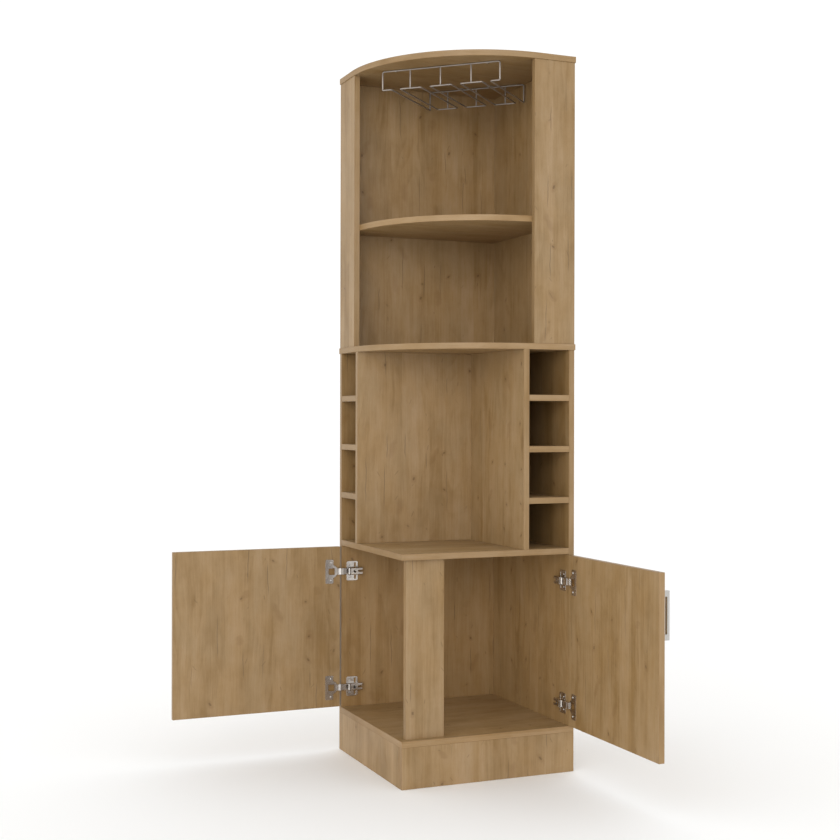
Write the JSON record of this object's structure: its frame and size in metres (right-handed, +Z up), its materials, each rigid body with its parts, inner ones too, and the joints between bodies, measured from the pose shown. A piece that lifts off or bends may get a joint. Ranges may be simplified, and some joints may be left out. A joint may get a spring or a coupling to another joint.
{
  "type": "corner bar cabinet",
  "caption": "Corner bar cabinet in light oak board with a cupboard, bottle bay and cubbies, rounded shelves and a wire rack for stemware under the top.",
  "frame": {"origin": "on the floor at the outer back corner, where the outer planes of the two wall panels meet; the cabinet fills the quadrant of negative X and negative Y", "axes": "+Z up; the right face looks along -Y and the left face along -X, so +Y and +X point at the two room walls"},
  "size_m": [0.94, 0.923, 1.8],
  "materials": {
    "oak_board": "satin melamine oak foil with a straight vertical grain",
    "hinge_steel": "bright nickel plate",
    "chrome_wire": "polished chrome plate",
    "satin_metal": "satin"
  },
  "bodies": {
    "carcass": {"plinth_rail_right": "oak_board", "plinth_rail_left": "oak_board", "plinth_rail_back_left": "oak_board", "plinth_rail_back_right": "oak_board", "bottom_board": "oak_board", "wall_panel_left": "oak_board", "wall_panel_right": "oak_board", "corner_post": "oak_board", "counter_board": "oak_board", "bay_panel_left": "oak_board", "bay_panel_right": "oak_board", "cubby_shelf_left_1": "oak_board", "cubby_shelf_right_1": "oak_board", "cubby_shelf_left_2": "oak_board", "cubby_shelf_right_2": "oak_board", "cubby_shelf_left_3": "oak_board", "cubby_shelf_right_3": "oak_board", "mid_shelf": "oak_board", "upper_wall_left": "oak_board", "upper_wall_right": "oak_board", "cheek_left": "oak_board", "cheek_right": "oak_board", "upper_shelf": "oak_board", "top_board": "oak_board", "rack_front_rail": "chrome_wire", "rack_rear_rail": "chrome_wire", "rack_loop_1": "chrome_wire", "rack_loop_2": "chrome_wire", "rack_loop_3": "chrome_wire", "rack_side_left": "chrome_wire", "rack_side_right": "chrome_wire", "rack_screw_front_1": "hinge_steel", "rack_screw_front_2": "hinge_steel", "rack_screw_rear_1": "hinge_steel", "rack_screw_rear_2": "hinge_steel", "hinge_plate_left_upper": "hinge_steel", "hinge_arm_left_upper": "hinge_steel", "hinge_pin_left_upper": "hinge_steel", "hinge_plate_left_lower": "hinge_steel", "hinge_arm_left_lower": "hinge_steel", "hinge_pin_left_lower": "hinge_steel", "hinge_plate_right_upper": "hinge_steel", "hinge_arm_right_upper": "hinge_steel", "hinge_pin_right_upper": "hinge_steel", "hinge_plate_right_lower": "hinge_steel", "hinge_arm_right_lower": "hinge_steel", "hinge_pin_right_lower": "hinge_steel"},
    "door_left": {"door_left": "oak_board", "handle_left": "satin_metal", "hinge_cup_left_upper": "hinge_steel", "hinge_cup_left_lower": "hinge_steel"},
    "door_right": {"door_right": "oak_board", "handle_right": "satin_metal", "hinge_cup_right_upper": "hinge_steel", "hinge_cup_right_lower": "hinge_steel"},
    "left_hinge_links": {"hinge_link_left_upper": "hinge_steel", "hinge_link_left_lower": "hinge_steel"},
    "right_hinge_links": {"hinge_link_right_upper": "hinge_steel", "hinge_link_right_lower": "hinge_steel"}
  },
  "joints": [
    {"name": "door_left_hinge", "type": "hinge", "parent": "carcass", "child": "door_left", "pos_m": [-0.4595, -0.0075, 0.331], "axis": [0, 0, 1], "range_deg": [0, 90]},
    {"name": "door_right_hinge", "type": "hinge", "parent": "carcass", "child": "door_right", "pos_m": [-0.0075, -0.4595, 0.331], "axis": [0, 0, 1], "range_deg": [-90, 0]},
    {"name": "left_links_pivot", "type": "hinge", "parent": "carcass", "child": "left_hinge_links", "pos_m": [-0.444, -0.0245, 0.331], "axis": [0, 0, 1], "range_deg": [0, 96.6]},
    {"name": "right_links_pivot", "type": "hinge", "parent": "carcass", "child": "right_hinge_links", "pos_m": [-0.0245, -0.444, 0.331], "axis": [0, 0, 1], "range_deg": [-96.6, 0]}
  ],
  "couplings": [
    {"joint": "left_links_pivot", "follows": "door_left_hinge", "ratio": 1.0709},
    {"joint": "right_links_pivot", "follows": "door_right_hinge", "ratio": 1.0709}
  ]
}
